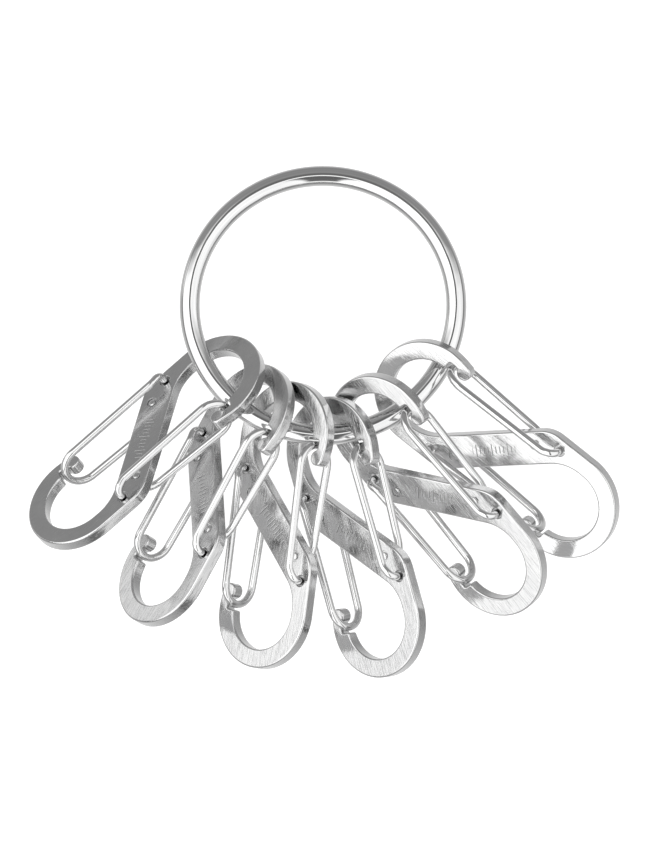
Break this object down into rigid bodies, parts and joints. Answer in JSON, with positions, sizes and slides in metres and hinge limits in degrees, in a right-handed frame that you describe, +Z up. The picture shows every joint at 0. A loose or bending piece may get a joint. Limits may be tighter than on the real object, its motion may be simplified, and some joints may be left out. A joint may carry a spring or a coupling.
{
  "type": "carabiner keyring",
  "caption": "Steel wire ring carrying flat S-shaped carabiners, each with two hooks closed by sprung wire gates, fanned out on a table.",
  "frame": {"origin": "middle of the underside of the bounding box, on the table the keyring lies on", "axes": "+Z up from the table; the bare side of the ring lies towards +Y and the carabiners fan out towards -Y; +X to the right seen from above with +Y away"},
  "size_m": [0.1044, 0.0912, 0.0199],
  "materials": {
    "polished_ring": "polished stainless steel wire",
    "satin_plate": "polished stainless steel with a fine lengthwise grain",
    "bright_wire": "bright drawn stainless steel wire"
  },
  "bodies": {
    "ring": {"ring": "polished_ring"},
    "carabiner_4": {"carabiner_4_plate": "satin_plate"},
    "carabiner_4_ring_gate": {"carabiner_4_ring_gate": "bright_wire"},
    "carabiner_4_key_gate": {"carabiner_4_key_gate": "bright_wire"},
    "carabiner_3": {"carabiner_3_plate": "satin_plate"},
    "carabiner_3_ring_gate": {"carabiner_3_ring_gate": "bright_wire"},
    "carabiner_3_key_gate": {"carabiner_3_key_gate": "bright_wire"},
    "carabiner_2": {"carabiner_2_plate": "satin_plate"},
    "carabiner_2_ring_gate": {"carabiner_2_ring_gate": "bright_wire"},
    "carabiner_2_key_gate": {"carabiner_2_key_gate": "bright_wire"},
    "carabiner_1": {"carabiner_1_plate": "satin_plate"},
    "carabiner_1_ring_gate": {"carabiner_1_ring_gate": "bright_wire"},
    "carabiner_1_key_gate": {"carabiner_1_key_gate": "bright_wire"},
    "carabiner_5": {"carabiner_5_plate": "satin_plate"},
    "carabiner_5_ring_gate": {"carabiner_5_ring_gate": "bright_wire"},
    "carabiner_5_key_gate": {"carabiner_5_key_gate": "bright_wire"},
    "carabiner_6": {"carabiner_6_plate": "satin_plate"},
    "carabiner_6_ring_gate": {"carabiner_6_ring_gate": "bright_wire"},
    "carabiner_6_key_gate": {"carabiner_6_key_gate": "bright_wire"}
  },
  "joints": [
    {"name": "carabiner_4_slide", "type": "hinge", "parent": "ring", "child": "carabiner_4", "pos_m": [-0.00006, 0.02059, 0.00594], "axis": [0, 0.1633, 0.9866], "continuous": true},
    {"name": "carabiner_4_ring_gate_hinge", "type": "hinge", "parent": "carabiner_4", "child": "carabiner_4_ring_gate", "pos_m": [0.01391, -0.02787, 0.01707], "axis": [-0.6539, -0.1041, 0.7493], "range_deg": [0, 13], "stiffness_Nm_per_rad": 0.15},
    {"name": "carabiner_4_key_gate_hinge", "type": "hinge", "parent": "carabiner_4", "child": "carabiner_4_key_gate", "pos_m": [-0.00242, -0.01356, 0.00481], "axis": [-0.6539, -0.1041, 0.7493], "range_deg": [0, 17], "stiffness_Nm_per_rad": 0.15},
    {"name": "carabiner_3_slide", "type": "hinge", "parent": "carabiner_4", "child": "carabiner_3", "pos_m": [-0.00006, 0.02059, 0.00594], "axis": [0, -0.1633, -0.9866], "range_deg": [0, 36]},
    {"name": "carabiner_3_ring_gate_hinge", "type": "hinge", "parent": "carabiner_3", "child": "carabiner_3_ring_gate", "pos_m": [-0.00338, -0.02884, 0.01523], "axis": [-0.6357, 0.0864, 0.7671], "range_deg": [0, 12], "stiffness_Nm_per_rad": 0.15},
    {"name": "carabiner_3_key_gate_hinge", "type": "hinge", "parent": "carabiner_3", "child": "carabiner_3_key_gate", "pos_m": [-0.01313, -0.00838, 0.00485], "axis": [-0.6357, 0.0864, 0.7671], "range_deg": [0, 20], "stiffness_Nm_per_rad": 0.15},
    {"name": "carabiner_2_slide", "type": "hinge", "parent": "carabiner_3", "child": "carabiner_2", "pos_m": [-0.00006, 0.02059, 0.00594], "axis": [0, -0.1633, -0.9866], "range_deg": [0, 36]},
    {"name": "carabiner_2_ring_gate_hinge", "type": "hinge", "parent": "carabiner_2", "child": "carabiner_2_ring_gate", "pos_m": [-0.02041, -0.02425, 0.01562], "axis": [-0.6503, 0.3576, 0.6703], "range_deg": [0, 14], "stiffness_Nm_per_rad": 0.15},
    {"name": "carabiner_2_key_gate_hinge", "type": "hinge", "parent": "carabiner_2", "child": "carabiner_2_key_gate", "pos_m": [-0.0207, -0.00237, 0.00366], "axis": [-0.6503, 0.3576, 0.6703], "range_deg": [0, 20], "stiffness_Nm_per_rad": 0.15},
    {"name": "carabiner_1_slide", "type": "hinge", "parent": "carabiner_2", "child": "carabiner_1", "pos_m": [-0.00006, 0.02059, 0.00594], "axis": [0, -0.1633, -0.9866], "range_deg": [0, 36]},
    {"name": "carabiner_1_ring_gate_hinge", "type": "hinge", "parent": "carabiner_1", "child": "carabiner_1_ring_gate", "pos_m": [-0.03476, -0.01451, 0.01371], "axis": [-0.4735, 0.526, 0.7065], "range_deg": [0, 12], "stiffness_Nm_per_rad": 0.15},
    {"name": "carabiner_1_key_gate_hinge", "type": "hinge", "parent": "carabiner_1", "child": "carabiner_1_key_gate", "pos_m": [-0.02755, 0.00669, 0.00276], "axis": [-0.4735, 0.526, 0.7065], "range_deg": [0, 20], "stiffness_Nm_per_rad": 0.15},
    {"name": "carabiner_5_slide", "type": "hinge", "parent": "carabiner_4", "child": "carabiner_5", "pos_m": [-0.00006, 0.02059, 0.00594], "axis": [0, 0.1633, 0.9866], "range_deg": [0, 36]},
    {"name": "carabiner_5_ring_gate_hinge", "type": "hinge", "parent": "carabiner_5", "child": "carabiner_5_ring_gate", "pos_m": [0.03096, -0.01651, 0.01598], "axis": [-0.5098, -0.4002, 0.7615], "range_deg": [0, 16], "stiffness_Nm_per_rad": 0.15},
    {"name": "carabiner_5_key_gate_hinge", "type": "hinge", "parent": "carabiner_5", "child": "carabiner_5_key_gate", "pos_m": [0.00953, -0.00992, 0.00509], "axis": [-0.5098, -0.4002, 0.7615], "range_deg": [0, 20], "stiffness_Nm_per_rad": 0.15},
    {"name": "carabiner_6_slide", "type": "hinge", "parent": "carabiner_5", "child": "carabiner_6", "pos_m": [-0.00006, 0.02059, 0.00594], "axis": [0, 0.1633, 0.9866], "range_deg": [0, 36]},
    {"name": "carabiner_6_ring_gate_hinge", "type": "hinge", "parent": "carabiner_6", "child": "carabiner_6_ring_gate", "pos_m": [0.04191, -0.00546, 0.01423], "axis": [-0.3946, -0.3517, 0.8489], "range_deg": [0, 20], "stiffness_Nm_per_rad": 0.15},
    {"name": "carabiner_6_key_gate_hinge", "type": "hinge", "parent": "carabiner_6", "child": "carabiner_6_key_gate", "pos_m": [0.01918, -0.00456, 0.00404], "axis": [-0.3946, -0.3517, 0.8489], "range_deg": [0, 20], "stiffness_Nm_per_rad": 0.15}
  ]
}
